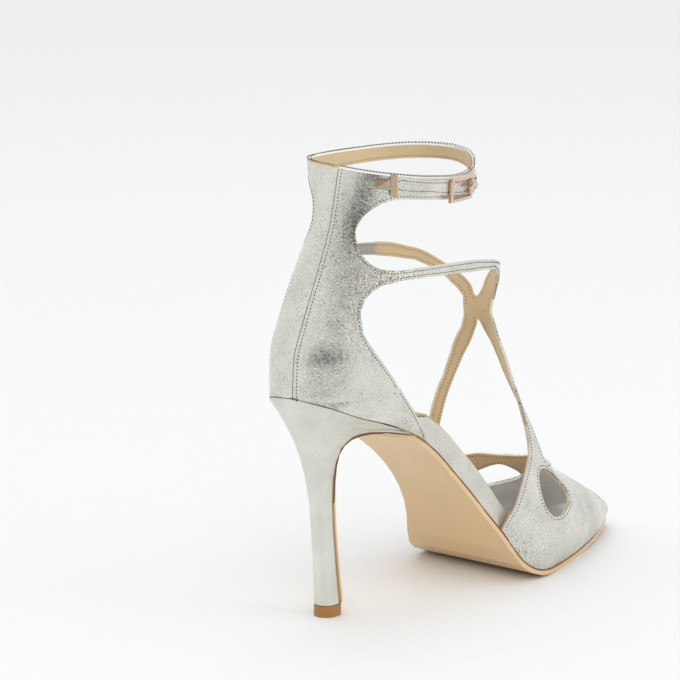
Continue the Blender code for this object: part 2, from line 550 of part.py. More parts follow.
def main():
    silver, silver_heel, silver_board, tan, tan_lining, silver_bed, brown, grey, strap_leather, rose, \
        rose_pin, gold = [principled(*row) for row in LOOKS]

    # The upper: one flat piece, cut out and lasted, with the back seam closed.
    low, high = SKIN, SKIN + WALL
    blank = [(.3, -1.0), (TOE, -1.0), (TOE, 1.0), (.3, 1.0)]
    upper = link("upper", flat_slab("upper", blank, low, high), PARTS)
    above = [(0.0, -1.2), (.94, -1.2)] + TOP_EDGE + [(.94, 1.2), (0.0, 1.2)]
    holes = [above, smooth_loop(THROAT), QUARTER_LATERAL, QUARTER_MEDIAL, smooth_loop(INSTEP)]
    holes += [smooth_loop(TEARDROP_LATERAL), smooth_loop(TEARDROP_MEDIAL), PEEP_TOE, ELASTIC_CUT]
    cut(upper, holes, low - CUT_MORE, high + CUT_MORE)
    put_on_last(upper, 1 / 3, 1 / 18, weld_seam=True, more=(6.04, 6.1, 6.18, 6.28, 6.55))
    finish(upper, silver)

    lasted_slab("elastic_gusset", ELASTIC, low, low + ELASTIC_T, grey)

    # The strap end, its buckle and its keeper lie on the ankle strap, one on the other.
    on_strap = high + GAP
    lasted_slab("strap_end", BILLET, on_strap, on_strap + BILLET_T, strap_leather)
    over = on_strap + BILLET_T + GAP
    frame = link("buckle_frame", flat_slab("buckle_frame", FRAME_OUT, over, over + METAL), PARTS)
    cut(frame, [FRAME_IN], over - CUT_MORE, over + METAL + CUT_MORE)
    put_on_last(frame, .25, .04)
    finish(frame, rose)
    pin = over + METAL + GAP
    lasted_slab("buckle_prong", PRONG, pin, pin + METAL, rose_pin)
    keeper = link("keeper", flat_slab("keeper", KEEPER, on_strap, over + METAL), PARTS)
    cut(keeper, [KEEPER_IN], on_strap - CUT_MORE, over)
    put_on_last(keeper, .25, .04)
    finish(keeper, gold)

    # The insole board and the footbed lining on it.
    us = [6.1, 6.16, 6.28, 6.42, 6.7, 7, 7.5, 8, 8.5, 9, 9.3, 9.6, 10, 10.5, 11, 11.5, 12, 12.5]
    us += [13, 13.5, 14, 14.5, 15, 15.5, 16, 16.5, 17, 17.5, 18, 18.5, 19, 19.5, 20, 20.5, 21, 21.4, 21.7]
    board = rings_mesh("insole_board", bed_rings(us, lambda u: 0.0, board_height, board_inset))
    finish(link("insole_board", board, PARTS), silver_board)
    split = us.index(15.5)
    sock_low = lambda u: board_height(u) + GAP
    sock_high = lambda u: board_height(u) + GAP + SOCK_T
    more = (SOCK_HEEL, SOCK_HEEL, SOCK_WAIST, SOCK_WAIST, 0.0)
    inset = lambda u: SOCK_IN + float(np.interp(u, [6, 8.6, 9.4, 13.0, 13.9], more))
    rear = rings_mesh("footbed_rear", bed_rings(us[2:split + 1], sock_low, sock_high, inset))
    finish(link("footbed_rear", rear, PARTS), tan_lining)
    front_us = [15.53] + us[split + 1:-1]
    front = rings_mesh("footbed_front", bed_rings(front_us, sock_low, sock_high, inset))
    finish(link("footbed_front", front, PARTS), silver_bed)

    finish(link("outsole", build_outsole(), PARTS), tan)

    rings = [heel_ring(*row) for row in HEEL]
    rings[-1] = heel_top(rings[-1])
    finish(link("heel", rings_mesh("heel", rings, ladder=True), PARTS), silver_heel)
    b_y, _, f_y, _, half = HEEL[0]
    back, front = b_y - LIFT_OUT, f_y + LIFT_FRONT
    base = [heel_ring(back, z, front, z, half + LIFT_OUT) for z in (0.0, TIP_H)]
    finish(link("toplift", rings_mesh("toplift", base), PARTS), brown)


for old in list(bpy.data.objects):
    bpy.data.objects.remove(old, do_unlink=True)
PARTS = bpy.data.collections.new("strappy_heeled_sandal")
CUTTERS = bpy.data.collections.new("cutters")
CUTTERS.hide_render = True
bpy.context.scene.collection.children.link(PARTS)
bpy.context.scene.collection.children.link(CUTTERS)
main()
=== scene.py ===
"""Strappy heeled sandal in silver leather, as in the photograph.

The scene is in metres, in the frame of the part. The tables and sizes of the shoe are in mm.
"""

import bmesh
import bpy
import numpy as np
from mathutils import Matrix, Vector


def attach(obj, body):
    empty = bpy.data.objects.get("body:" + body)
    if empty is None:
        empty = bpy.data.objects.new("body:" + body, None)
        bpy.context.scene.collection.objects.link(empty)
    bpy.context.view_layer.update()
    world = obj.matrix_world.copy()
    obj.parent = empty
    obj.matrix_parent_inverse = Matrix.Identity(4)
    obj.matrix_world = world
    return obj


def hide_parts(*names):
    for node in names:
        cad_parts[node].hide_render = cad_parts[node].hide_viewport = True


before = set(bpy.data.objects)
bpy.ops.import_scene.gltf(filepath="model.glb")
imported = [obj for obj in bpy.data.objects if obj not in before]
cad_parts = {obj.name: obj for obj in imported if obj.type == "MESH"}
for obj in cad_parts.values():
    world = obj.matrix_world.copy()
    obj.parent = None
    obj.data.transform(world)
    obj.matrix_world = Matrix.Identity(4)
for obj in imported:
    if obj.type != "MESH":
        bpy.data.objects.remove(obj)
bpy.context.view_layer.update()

MM = 0.001

# Camera, fitted to the photograph: the heel tip lands on HEEL_PX, at PX_PER_MM there.
IMAGE_PX = 680
HEEL_PX = (326.5, 614.5)
PX_PER_MM = 2.33
CAM_AZ, CAM_EL, CAM_DIST = 40.5, 12.0, 1700.0
SENSOR = 36.0
CLIP_END = 20.0

# Light: a white room with a dark patch, which gives the foil its dark core. The patch has its
# direction and the cosines between which it fades. Below lies white paper.
ROOM, DARK = 0.97, 0.03
DARK_WAY = (.30, -.95, -.10)
DARK_FROM, DARK_TO = 0.76, 0.89
PAPER = 0.87
# The soft boxes: place, aim and size in m, and power in W. Only the fill has a colour of its own.
KEY = (-.55, .55, 1.5), (0, .08, .08), (.9, .9), 1.8
SIDE = (1.3, .5, .9), (0, .08, .08), (.6, .9), 1.5
FILL = (.75, -1.15, 1.35), (0, .10, .08), (1.2, 1.2), 7.0
FILL_COLOR = (.84, .94, 1.0)

# The last, as in the solids.
LENGTH = 219.2
HEIGHT = 199.0
HALF = 40.0
TOE = 22.0                           # number of the last section
# A row per section of the last: bottom (or back) point, top (or front) point and half widths at
# the edge and at the widest, as shares of LENGTH (Y), HEIGHT (Z) and HALF (X), then the height
# share of the widest and the roundness of the lower and upper quarters.
LAST_SHARES = np.array([
    # u     bY      bZ     tX      tY      tZ     eL      eM      wL      wM     hm   nb   ntL  ntM
    (0.0, .0525, 1.0, 0.0, .3741, .995, 0.0, 0.0, .775, .775, .4, 2.6, 2.0, 2.0),
    (1.0, .0429, .9648, 0.0, .3832, .9548, 0.0, 0.0, .7375, .7375, .4, 2.6, 2.0, 2.0),
    (2.0, .0164, .8442, -.025, .4288, .8442, 0.0, 0.0, .6375, .6125, .38, 2.2, 2.0, 2.0),
    (3.0, -.021, .7487, -.05, .479, .7588, 0.0, 0.0, .7125, .7125, .36, 2.1, 1.9, 1.9),
    (4.0, -.0611, .6533, -.075, .5041, .6935, 0.0, 0.0, .7625, .75, .33, 2.1, 1.9, 1.9),
    (5.0, -.0885, .5729, -.075, .5018, .6382, 0.0, 0.0, .775, .7625, .3, 2.1, 1.8, 1.8),
    (6.0, -.0922, .4925, -.0875, .4982, .5879, 0.0, 0.0, .75, .7375, .26, 2.0, 1.8, 1.8),
    (6.14, -.0862, .4889, -.0875, .5, .5809, .23, .225, .7475, .735, .26, 2.0, 1.8, 1.8),
    (6.42, -.0698, .4799, -.0875, .5041, .5668, .425, .415, .745, .7275, .26, 2.0, 1.8, 1.8),
    (7.0, -.0365, .4623, -.0875, .5132, .5402, .5575, .545, .7375, .7125, .25, 2.0, 1.8, 1.8),
    (8.0, .0456, .4322, -.075, .5292, .499, .645, .615, .725, .6875, .24, 2.0, 1.8, 1.8),
    (9.0, .1369, .3894, -.075, .5474, .4523, .605, .555, .6875, .65, .24, 2.0, 1.8, 1.7),
    (10.0, .2099, .3417, -.05, .5625, .4095, .5375, .4625, .65, .625, .24, 2.0, 1.8, 1.6),
    (11.0, .2737, .2814, -.025, .578, .3658, .5125, .425, .6625, .6, .24, 2.0, 1.8, 1.5),
    (12.0, .3321, .2095, 0.0, .5931, .3216, .575, .46, .7125, .65, .24, 2.0, 1.8, 1.4),
    (13.0, .3809, .1281, .025, .6058, .2814, .7125, .545, .8, .75, .24, 2.0, 1.8, 1.35),
    (14.0, .4275, .0513, .05, .6195, .2437, .8125, .7, .8875, .875, .26, 2.0, 1.8, 1.3),
    (15.0, .4849, .0196, .05, .6387, .2136, .8325, .82, .9, .9625, .28, 2.0, 1.8, 1.3),
    (16.0, .5474, .0131, .05, .6729, .191, .7625, .8875, .825, 1.0, .3, 2.0, 1.8, 1.35),
    (17.0, .6204, .0131, .025, .7162, .1668, .65, .8925, .7125, .9625, .32, 2.0, 1.8, 1.45),
    (18.0, .6934, .0141, 0.0, .7619, .1407, .515, .825, .575, .8625, .35, 2.0, 1.8, 1.55),
    (19.0, .7664, .0171, -.05, .8075, .1146, .3675, .7125, .4175, .7375, .38, 2.0, 1.8, 1.7),
    (20.0, .8303, .0221, -.1, .8485, .0915, .21, .575, .25, .6, .42, 2.0, 1.9, 1.9),
    (21.0, .8759, .0271, -.1125, .8805, .0714, .08, .425, .105, .4375, .45, 2.0, 2.0, 2.0),
    (22.0, .9078, .0322, -.125, .9078, .0553, -.0325, .225, -.02, .2375, .5, 2.0, 2.0, 2.0),
])
LAST = LAST_SHARES * np.array([
    1, LENGTH, HEIGHT, HALF, LENGTH, HEIGHT, HALF, HALF, HALF, HALF, 1, 1, 1, 1,
])

PATTERN_Y = 10.0                     # width of the flat slab for a w of 1
# Pattern edges of the upper, each row (u, w): the section and the share of the half girth from
# the ridge, below 0 on the inner side. Then the loose strap end.
TOP_EDGE = [
    (.94, -1.0), (.92, -.78), (.90, -.57), (.87, -.41), (.80, -.28), (.75, -.19), (.74, -.10),
    (.76, 0.0), (.86, .09), (1.06, .18), (1.21, .27), (1.25, .37), (1.24, .47), (1.15, .64),
    (1.05, .78), (1.01, .86), (.97, .94), (.94, 1.0),
]
THROAT = [
    (1.66, .3), (1.61, .46), (1.53, .64), (1.49, .74), (1.54, .8), (1.66, .85), (1.82, .885),
    (2.01, .9), (2.24, .89), (2.45, .875), (2.65, .85), (2.83, .81), (2.91, .75), (2.92, .68),
    (2.97, .54), (3.12, .37), (3.3, .265), (3.46, .195), (3.7, .12), (4.02, .058), (4.3, .028),
    (4.65, .009), (5.0, 0.0), (5.35, -.01), (5.48, -.018), (5.35, -.026), (4.97, -.036),
    (4.6, -.058), (4.25, -.092), (3.84, -.14), (3.46, -.195), (3.28, -.245), (3.07, -.32),
    (2.93, -.46), (2.86, -.6), (2.74, -.72), (2.54, -.79), (2.31, -.84), (2.03, -.87),
    (1.8, -.875), (1.6, -.86), (1.44, -.81), (1.34, -.74), (1.31, -.61), (1.28, -.5),
    (1.25, -.38), (1.22, -.26), (1.2, -.13), (1.22, 0.0), (1.34, .1), (1.55, .2),
]
QUARTER_LATERAL = [
    (3.73, .21), (3.5, .32), (3.3, .47), (3.17, .63), (3.15, .73), (3.2, .79), (3.32, .82),
    (3.5, .84), (3.75, .845), (4.28, .825), (4.69, .79), (5.14, .755), (5.6, .718), (5.93, .7),
    (6.07, .714), (6.14, .735), (6.21, .746), (6.33, .761), (6.59, .778), (6.99, .798),
    (7.41, .825), (8.29, .899), (9.15, .978), (9.48, 1.0), (9.58, 1.06), (13.1, 1.06),
    (13.0, 1.0), (12.84, .92), (12.74, .84), (12.62, .78), (12.46, .69), (12.31, .6),
    (12.13, .48), (11.9, .41), (11.4, .305), (10.6, .215), (9.9, .172), (9.17, .145),
    (8.23, .118), (7.47, .1), (6.9, .08), (6.38, .062), (5.98, .05), (5.43, .055), (5.05, .075),
    (4.55, .105), (4.1, .15),
]
QUARTER_MEDIAL = [
    (3.73, -.225), (3.5, -.31), (3.28, -.42), (3.16, -.56), (3.07, -.68), (3.1, -.75),
    (3.19, -.79), (3.33, -.82), (3.52, -.83), (3.77, -.83), (4.14, -.81), (4.56, -.78),
    (5.26, -.72), (5.7, -.684), (5.93, -.667), (6.04, -.67), (6.12, -.695), (6.18, -.706),
    (6.31, -.721), (6.57, -.738), (6.97, -.754), (7.38, -.778), (8.2, -.868), (8.94, -.953),
    (9.3, -1.0), (9.4, -1.06), (12.8, -1.06), (12.7, -1.0), (12.6, -.9), (12.48, -.8),
    (12.25, -.73), (11.9, -.655), (11.4, -.575), (10.79, -.48), (10.1, -.385), (9.17, -.265),
    (8.23, -.172), (7.47, -.12), (6.9, -.08), (6.38, -.06), (5.98, -.05), (5.43, -.055),
    (5.05, -.075), (4.55, -.11), (4.1, -.16),
]
INSTEP = [
    (6.5, -.021), (6.72, -.014), (7.15, -.008), (8.0, .006), (9.2, .03), (10.4, .062),
    (11.5, .135), (12.2, .215), (12.75, .3), (13.1, .35), (13.35, .33), (13.75, .25), (14.2, .15),
    (14.55, .06), (14.62, 0.0), (14.5, -.06), (14.15, -.13), (13.75, -.2), (13.3, -.29),
    (13.05, -.38), (12.88, -.46), (12.62, -.52), (12.2, -.53), (11.6, -.495), (11.07, -.435),
    (10.1, -.31), (9.15, -.2), (8.0, -.09), (7.15, -.04), (6.65, -.022),
]
TEARDROP_LATERAL = [
    (12.8, .5), (12.98, .57), (13.33, .626), (13.7, .65), (14.14, .645), (14.59, .608),
    (15.0, .544), (15.28, .475), (15.32, .405), (15.03, .354), (14.45, .33), (13.85, .345),
    (13.3, .395), (12.95, .445),
]
TEARDROP_MEDIAL = [
    (14.50, -.21), (14.28, -.31), (14.20, -.42), (14.28, -.50), (14.62, -.56), (15.21, -.58),
    (15.91, -.56), (16.48, -.52), (17.0, -.45), (17.2, -.37), (17.1, -.29), (16.6, -.225),
    (15.9, -.185), (15.1, -.17),
]
PEEP_TOE = [
    (23.0, -1.2), (21.75, -1.05), (21.6, -.84), (21.25, -.70), (20.7, -.55), (20.2, -.40),
    (19.85, -.22), (19.72, -.05), (19.76, .10), (19.92, .25), (20.2, .40), (20.7, .55),
    (21.25, .70), (21.6, .84), (21.75, 1.05), (23.0, 1.2),
]
ELASTIC_CUT = [(2.4, -.665), (2.4, -.375), (3.9, -.375), (3.9, -.665)]
BILLET = [
    (1.17, .825), (1.15, .8), (1.105, .782), (1.09, .765), (1.04, .742), (1.09, .7), (1.15, .63),
    (1.19, .563), (1.22, .501), (1.255, .423), (1.285, .33), (1.3, .27), (1.56, .27),
    (1.555, .33), (1.54, .431), (1.515, .501), (1.47, .556), (1.415, .63), (1.39, .7),
    (1.365, .742), (1.335, .765), (1.325, .782), (1.31, .8), (1.29, .825),
]

SOLE_T = 2.1
# Outsole path up the breast, as in the solids.
BREAST_SHARES = np.array([
    # Y      Z     left  right  thick
    (.0212, .0271, .115, .115, .43),
    (.0176, .0704, .105, .105, .43),
    (.0125, .1256, .0975, .0975, .43),
    (.0071, .1859, .0925, .0925, .43),
    (.0025, .2513, .095, .095, .43),
    (.0007, .3055, .1075, .1075, .43),
    (.0014, .3397, .1225, .1225, .43),
    (.0043, .3618, .145, .145, .43),
    (.01, .3799, .185, .185, .43),
    (.0196, .392, .235, .235, .43),
    (.0347, .4, .295, .295, .45),
    (.0566, .405, .385, .385, .5),
    (.0776, .4015, .475, .465, .62),
    (.1004, .396, .555, .515, .81),
])
BREAST = BREAST_SHARES * np.array([LENGTH, HEIGHT, HALF, HALF, SOLE_T])

WALL_LOW, WALL_HIGH = 0.15, 1.65     # upper, mm off the last
BLANK_TOP = 0.3                      # first section of the flat slab
CUT_OVER = 0.7                       # reach of the cutters past the wall
GRID_U, GRID_W = 0.14, 1 / 44        # mesh of the upper
SEAM_TOP, SEAM_END, SEAM_LOW = 0.99, 6.0, 6.02       # back seam: first stitch, end, last stitch
SEAM_GRID = (6.03, 6.06, 6.09, 6.18, 6.21, 6.28, 6.32)   # finer mesh where the seam opens
EDGE_BLEND = 0.86                    # from this share of the girth the wall turns along the sole
EDGE_SPLIT = 0.8                     # lining below this height in the cut edges, leather above
SILVER_LINED, TOE_LINED = 13.4, 16.5     # low from the first, whole from the second: silver inside
SILVER_LINED_W = 0.55

STITCH_IN = 1.2                      # stitch row from the edge, mm
STRAP_STITCH_IN = 1.15
STITCH_PITCH = 1.45
STITCH_LONG, STITCH_WIDE = 0.76, 0.60
STITCH_W, STITCH_U = 0.992, 21.5     # no stitch beyond, where the sole closes the upper
BACK_STITCH_OUT = 1.9                # second row of the back seam from the first
SEAM_CORD, SOLE_CORD, JOINT_CORD = 0.16, 0.36, 0.95      # radii
CORD_SIDES = 6
OFF_CORDS = (0.0, 0.31, 0.95)        # a direction that no cord runs in

STRAP_TOP = 3.25                     # face of the strap end, mm off the last
TIP_FROM = 0.775                     # no stitch in the strap end from the tip on
TIP_LOOP = [(1.14, .835), (1.13, .79), (1.32, .79), (1.315, .835)]
TIP_UNDER, TIP_OVER = 1.32, 0.14
HOLE = (1.43, .345)                  # free hole of the strap end beside the buckle
HOLE_SIDES, HOLE_R, HOLE_RIM = 16, 0.75, 0.70


def pchip(knots, values, at):
    """Monotone cubic through the rows of values, with no overshoot between them."""
    step = np.diff(knots)[:, None]
    slope = np.diff(values, axis=0) / step
    inner = np.zeros_like(values)
    first, second = step[:-1], step[1:]
    same = slope[:-1] * slope[1:] > 0
    weight = (2 * second + first, second + 2 * first)
    safe = np.where(same, slope[:-1], 1.0), np.where(same, slope[1:], 1.0)
    mean = (weight[0] + weight[1]) / (weight[0] / safe[0] + weight[1] / safe[1])
    inner[1:-1] = np.where(same, mean, 0.0)
    inner[0], inner[-1] = slope[0], slope[-1]
    at = min(max(at, knots[0]), knots[-1])
    k = min(int(np.searchsorted(knots, at, side="right")) - 1, len(knots) - 2)
    h = knots[k + 1] - knots[k]
    t = (at - knots[k]) / h
    return (
        (2 * t ** 3 - 3 * t ** 2 + 1) * values[k] + (t ** 3 - 2 * t ** 2 + t) * h * inner[k]
        + (3 * t ** 2 - 2 * t ** 3) * values[k + 1] + (t ** 3 - t ** 2) * h * inner[k + 1]
    )


ROW_CACHE = {}


def last_row(u):
    key = round(float(u), 6)
    if key not in ROW_CACHE:
        ROW_CACHE[key] = pchip(LAST[:, 0], LAST[:, 1:], key)
    return ROW_CACHE[key]


HALF_CACHE = {}


def half_section(u, side):
    """Arc shares and points of one half of section u, from the ridge down to the edge."""
    key = (round(float(u), 6), side)
    if key not in HALF_CACHE:
        b_y, b_z, t_x, t_y, t_z, e_l, e_m, w_l, w_m, hm, nb, nt_l, nt_m = last_row(u)
        edge, wide, top = (e_l, w_l, t_x) if side > 0 else (e_m, w_m, -t_x)
        nt = nt_l if side > 0 else nt_m
        q = np.linspace(0, np.pi / 2, 33)
        start = np.arcsin(min(max(edge, 0.0) / max(wide, 0.1), 0.97) ** (nb / 2))
        r = np.linspace(start, np.pi / 2, 33)
        rise = np.cos(start) ** (2 / nb)
        low = np.sin(start) ** (2 / nb)
        reach = (np.sin(r) ** (2 / nb) - low) / (1 - low)
        low_x = edge + (wide - edge) * reach
        low_h = hm * (rise - np.cos(r) ** (2 / nb)) / rise
        high_x = top + (wide - top) * np.cos(q) ** (2 / nt)
        high_h = hm + (1 - hm) * np.sin(q) ** (2 / nt)
        x = np.concatenate([low_x, high_x[1:]]) * side
        h = np.concatenate([low_h, high_h[1:]])
        points = np.stack([x, b_y + (t_y - b_y) * h, b_z + (t_z - b_z) * h], -1)[::-1]
        run = np.concatenate([[0.0], np.cumsum(np.linalg.norm(np.diff(points, axis=0), axis=1))])
        HALF_CACHE[key] = (run / run[-1], points)
    return HALF_CACHE[key]


def last_point(u, w):
    share, points = half_section(u, 1 if w >= 0 else -1)
    s = min(abs(w), 1.0)
    return np.array([np.interp(s, share, points[:, k]) for k in range(3)])


def seat_up(u):
    """The normal of the sole line at u, in the YZ plane."""
    before, after = last_row(max(u - .05, SEAM_END)), last_row(min(u + .05, TOE))
    y, z = after[0] - before[0], after[1] - before[1]
    length = np.hypot(y, z)
    return np.array([-z / length, y / length])


def last_normal(u, w):
    du, dw = 0.06, 0.012
    w_low, w_high = max(w - dw, -1.0), min(w + dw, 1.0)
    along = last_point(min(u + du, TOE), w) - last_point(max(u - du, 0.0), w)
    across = last_point(u, w_high) - last_point(u, w_low)
    n = np.cross(along, across)
    n /= np.linalg.norm(n)
    if abs(w) > 0.9999 and u <= SEAM_END + 0.001:
        n[0] = 0.0
    near_edge = min(max((abs(w) - EDGE_BLEND) / (1 - EDGE_BLEND), 0.0), 1.0)
    if u > SEAM_END - 0.001 and near_edge > 0:
        rim = np.sign(w)
        way = last_point(min(u + .04, TOE), rim) - last_point(max(u - .04, SEAM_END), rim)
        flat = NORMAL_SIGN * rim * np.cross(way, np.array([0.0, *seat_up(u)]))
        flat[0] *= float(u > SEAM_END + 0.001)
        share = near_edge ** 2 * (3 - 2 * near_edge)
        n = (1 - share) * n + share * flat / np.linalg.norm(flat)
    return n / np.linalg.norm(n)


NORMAL_SIGN = 1.0 if last_normal(4.0, 0.5)[0] > 0 else -1.0


def lasted(u, w, height):
    """The point at this height in mm off the last."""
    return last_point(u, w) + NORMAL_SIGN * height * last_normal(u, w)


def smooth_loop(points):
    """A closed loop with its corners rounded and its runs kept."""
    pts = np.array(points, float)
    for _ in range(2):
        nxt, aft, prv = np.roll(pts, -1, 0), np.roll(pts, -2, 0), np.roll(pts, 1, 0)
        mid = (9 * (pts + nxt) - (prv + aft)) / 16
        pts = np.stack([pts, mid], 1).reshape(-1, 2)
    return pts


def to_flat(u, w, step):
    """The (du, dw) that moves a point on the last by this step in mm."""
    du, dw = 0.03, 0.006
    u_low, u_high = max(u - du, 0.0), min(u + du, TOE)
    w_low, w_high = max(w - dw, -1.0), min(w + dw, 1.0)
    per_u = (last_point(u_high, w) - last_point(u_low, w)) / (u_high - u_low)
    per_w = (last_point(u, w_high) - last_point(u, w_low)) / (w_high - w_low)
    return np.linalg.lstsq(np.stack([per_u, per_w], 1), step, rcond=None)[0]


def leather_side(loop):
    """1 where the leather round this loop lies left of its run, seen from outside, else -1."""
    p = np.array(loop)
    q = np.roll(p, -1, 0)
    area = (p[:, 0] * q[:, 1] - q[:, 0] * p[:, 1]).sum() / 2
    return 1.0 if area > 0 else -1.0


# The openings with a stitched edge, in the order in which they are cut.
HOLES = (
    smooth_loop(THROAT), QUARTER_LATERAL, QUARTER_MEDIAL, smooth_loop(INSTEP),
    smooth_loop(TEARDROP_LATERAL), smooth_loop(TEARDROP_MEDIAL),
)


COLLECTION = bpy.context.scene.collection


def link(name, mesh):
    obj = bpy.data.objects.new(name, mesh)
    COLLECTION.objects.link(obj)
    return obj


def set_active(obj):
    bpy.ops.object.select_all(action="DESELECT")
    obj.select_set(True)
    bpy.context.view_layer.objects.active = obj


def piece(obj, material, slot, *nodes, angle=40):
    """Gives a visual piece its finish and smooth shading, hangs it under the root and hides the
    parts it stands in for.
    """
    if material:
        obj.data.materials.clear()
        obj.data.materials.append(material)
    set_active(obj)
    bpy.ops.object.shade_smooth()
    obj.data.set_sharp_from_angle(angle=np.radians(angle))
    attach(obj, "root")
    if nodes:
        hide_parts(*nodes)
    return obj


def flat_slab(name, loop, low, high):
    bm = bmesh.new()
    bottom = [bm.verts.new((u, w * PATTERN_Y, low)) for u, w in loop]
    top = [bm.verts.new((u, w * PATTERN_Y, high)) for u, w in loop]
    bm.faces.new(bottom)
    bm.faces.new(top[::-1])
    for i in range(len(loop)):
        j = (i + 1) % len(loop)
        bm.faces.new((bottom[j], bottom[i], top[i], top[j]))
    bmesh.ops.recalc_face_normals(bm, faces=bm.faces)
    mesh = bpy.data.meshes.new(name)
    bm.to_mesh(mesh)
    bm.free()
    return mesh


def cut(obj, loops, low, high):
    for k, loop in enumerate(loops):
        cutter = link(f"{obj.name}_cut_{k}", flat_slab(obj.name + "_cut", loop, low, high))
        modifier = obj.modifiers.new(f"cut_{k}", "BOOLEAN")
        modifier.operation = "DIFFERENCE"
        modifier.solver = "EXACT"
        modifier.object = cutter
        set_active(obj)
        bpy.ops.object.modifier_apply(modifier=modifier.name)
        bpy.data.objects.remove(cutter, do_unlink=True)


def grid_lines(low, high, step):
    return np.arange(np.ceil(low / step) * step, high + 1e-9, step)


def lay_on_last(obj):
    """Splits the flat slab on a fine grid, lays it on the last and welds the back seam.

    Inner faces get the second material, or the third under the toes.
    """
    bm = bmesh.new()
    bm.from_mesh(obj.data)
    us = [v.co.x for v in bm.verts]
    ws = [v.co.y / PATTERN_Y for v in bm.verts]
    lines = [(u, 0) for u in grid_lines(min(us) + .02, max(us) - .02, GRID_U)]
    lines += [(u, 0) for u in SEAM_GRID]
    lines += [(w * PATTERN_Y, 1) for w in grid_lines(min(ws) + .004, max(ws) - .004, GRID_W)]
    lines.append((EDGE_SPLIT, 2))
    for at, axis in lines:
        place = Vector([at if k == axis else 0 for k in range(3)])
        way = Vector([1 if k == axis else 0 for k in range(3)])
        geom = bm.verts[:] + bm.edges[:] + bm.faces[:]
        bmesh.ops.bisect_plane(bm, geom=geom, dist=1e-4, plane_co=place, plane_no=way)
    ends = [
        f for f in bm.faces
        if all(abs(abs(v.co.y / PATTERN_Y) - 1) < 1e-5 and v.co.x < SEAM_END + 1e-4
               for v in f.verts)
    ]
    bmesh.ops.delete(bm, geom=ends, context="FACES")
    for f in bm.faces:
        u, w = f.calc_center_median().x, f.calc_center_median().y / PATTERN_Y
        silver = u > SILVER_LINED and abs(w) > SILVER_LINED_W or u > TOE_LINED
        inner = all(v.co.z < EDGE_SPLIT + 1e-4 for v in f.verts)
        f.material_index = 0 if not inner else 2 if silver else 1
    for v in bm.verts:
        v.co = Vector(lasted(v.co.x, v.co.y / PATTERN_Y, v.co.z) * MM)
    seam = [v for v in bm.verts if abs(v.co.x) < 1e-7]
    bmesh.ops.remove_doubles(bm, verts=seam, dist=2e-5)
    bmesh.ops.recalc_face_normals(bm, faces=bm.faces)
    bm.to_mesh(obj.data)
    bm.free()


class Nodes:
    """A small helper to wire shader nodes."""

    def __init__(self, name):
        self.material = bpy.data.materials.new(name)
        self.material.use_nodes = True
        self.tree = self.material.node_tree
        self.shader = self.tree.nodes["Principled BSDF"]
        coordinates = self.tree.nodes.new("ShaderNodeTexCoord")
        self.place = coordinates.outputs["Object"]

    def wire(self, a, b):
        self.tree.links.new(a, b)

    def noise(self, scale, detail=3.0, roughness=0.5, stretch=None):
        node = self.tree.nodes.new("ShaderNodeTexNoise")
        node.inputs["Scale"].default_value = scale
        node.inputs["Detail"].default_value = detail
        node.inputs["Roughness"].default_value = roughness
        self.wire(self.stretched(stretch), node.inputs["Vector"])
        return node.outputs["Fac"]

    def stretched(self, stretch):
        if stretch is None:
            return self.place
        node = self.tree.nodes.new("ShaderNodeMapping")
        node.inputs["Scale"].default_value = stretch
        self.wire(self.place, node.inputs["Vector"])
        return node.outputs["Vector"]

    def cells(self, scale):
        """The distance to the edge of the nearest cell."""
        node = self.tree.nodes.new("ShaderNodeTexVoronoi")
        node.feature = "DISTANCE_TO_EDGE"
        node.inputs["Scale"].default_value = scale
        self.wire(self.place, node.inputs["Vector"])
        return node.outputs["Distance"]

    def near(self, centre, radius):
        """1 near this place in m, falling to 0 at the radius."""
        node = self.tree.nodes.new("ShaderNodeVectorMath")
        node.operation = "DISTANCE"
        self.wire(self.place, node.inputs[0])
        node.inputs[1].default_value = centre
        return self.ramp(node.outputs["Value"], (0.0, 1.0), (radius, 0.0))

    def ribs(self, scale):
        """Ribs that follow each other along Y."""
        node = self.tree.nodes.new("ShaderNodeTexWave")
        node.bands_direction = "Y"
        node.inputs["Scale"].default_value = scale
        self.wire(self.place, node.inputs["Vector"])
        return node.outputs["Fac"]

    def ramp(self, value, *stops):
        """stops: (position, value or colour)."""
        node = self.tree.nodes.new("ShaderNodeValToRGB")
        elements = node.color_ramp.elements
        while len(elements) < len(stops):
            elements.new(0.5)
        for element, (position, color) in zip(elements, stops):
            element.position = position
            shade = (color, color, color) if isinstance(color, float) else color
            element.color = (*shade, 1.0)
        self.wire(value, node.inputs["Fac"])
        return node.outputs["Color"]

    def mix(self, share, a, b, kind="MIX"):
        node = self.tree.nodes.new("ShaderNodeMix")
        node.data_type = "RGBA"
        node.blend_type = kind
        for value, socket in ((share, node.inputs[0]), (a, node.inputs[6]), (b, node.inputs[7])):
            if isinstance(value, (int, float)):
                socket.default_value = value
            elif isinstance(value, tuple):
                socket.default_value = (*value, 1.0)
            else:
                self.wire(value, socket)
        return node.outputs[2]

    def bump(self, *layers):
        """layers: (height, strength, distance in m)."""
        before = None
        for height, strength, distance in layers:
            node = self.tree.nodes.new("ShaderNodeBump")
            node.inputs["Strength"].default_value = strength
            node.inputs["Distance"].default_value = distance
            self.wire(height, node.inputs["Height"])
            if before:
                self.wire(before, node.inputs["Normal"])
            before = node.outputs["Normal"]
        self.wire(before, self.shader.inputs["Normal"])

    def set(self, **values):
        for name, value in values.items():
            socket = self.shader.inputs[name.replace("_", " ")]
            if isinstance(value, (int, float)):
                socket.default_value = value
            elif isinstance(value, tuple):
                socket.default_value = (*value, 1.0)
            else:
                self.wire(value, socket)
        return self


